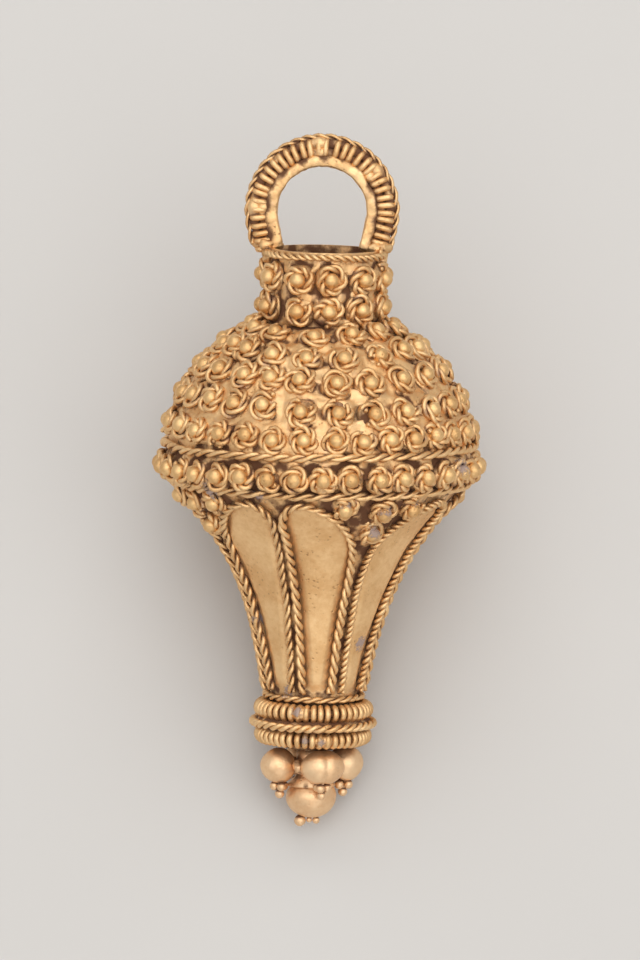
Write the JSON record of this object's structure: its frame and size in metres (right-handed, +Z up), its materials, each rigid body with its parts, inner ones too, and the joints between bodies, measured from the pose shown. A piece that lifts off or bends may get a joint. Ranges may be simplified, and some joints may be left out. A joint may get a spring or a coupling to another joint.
{
  "type": "filigree pendant",
  "caption": "Hollow gold drop pendant with an open neck, a suspension loop, rows of granules in wire rings, twisted wire borders and a finial of balls.",
  "frame": {"origin": "on the surface it lies on, under the middle of its bounding box", "axes": "+Z up from that surface, +Y along the pendant towards its loop, +X to the right seen from above"},
  "size_m": [0.0252, 0.0494, 0.0238],
  "materials": {
    "sheet_gold": "satin old gold sheet with brown dirt in the recesses",
    "wire_gold": "satin gold wire, worn bright on its crests",
    "granule_gold": "soft bright gold granules",
    "finial_gold": "pale satin gold"
  },
  "bodies": {
    "root": {"belt_granule_row": "granule_gold", "belt_rope_lower": "wire_gold", "belt_rope_upper": "wire_gold", "collar_coil_lower": "wire_gold", "collar_coil_upper": "wire_gold", "collar_rope": "wire_gold", "finial_ball_1": "finial_gold", "finial_ball_2": "finial_gold", "finial_ball_3": "finial_gold", "finial_ball_4": "finial_gold", "finial_ball_bottom": "finial_gold", "finial_post": "finial_gold", "grain_pyramid_1": "finial_gold", "grain_pyramid_2": "finial_gold", "grain_pyramid_3": "finial_gold", "grain_pyramid_4": "finial_gold", "granule_cluster_1": "granule_gold", "granule_cluster_2": "granule_gold", "granule_cluster_3": "granule_gold", "granule_cluster_4": "granule_gold", "loop_band": "wire_gold", "loop_coil": "wire_gold", "loop_rope": "wire_gold", "mouth_rope": "wire_gold", "neck_granule_row_1": "granule_gold", "neck_granule_row_2": "granule_gold", "neck_tube": "sheet_gold", "shoulder_dome": "sheet_gold", "shoulder_granule_row_1": "granule_gold", "shoulder_granule_row_2": "granule_gold", "shoulder_granule_row_3": "granule_gold", "shoulder_granule_row_4": "granule_gold", "shoulder_granule_row_5": "granule_gold", "tapering_body": "sheet_gold", "tip_grain_1": "finial_gold", "tip_grain_2": "finial_gold", "tip_grain_3": "finial_gold", "tongue_border_1": "wire_gold", "tongue_border_2": "wire_gold", "tongue_border_3": "wire_gold", "tongue_border_4": "wire_gold", "tongue_border_5": "wire_gold", "tongue_border_6": "wire_gold", "tongue_border_7": "wire_gold", "tongue_border_8": "wire_gold", "waist_rope": "wire_gold"}
  },
  "joints": []
}
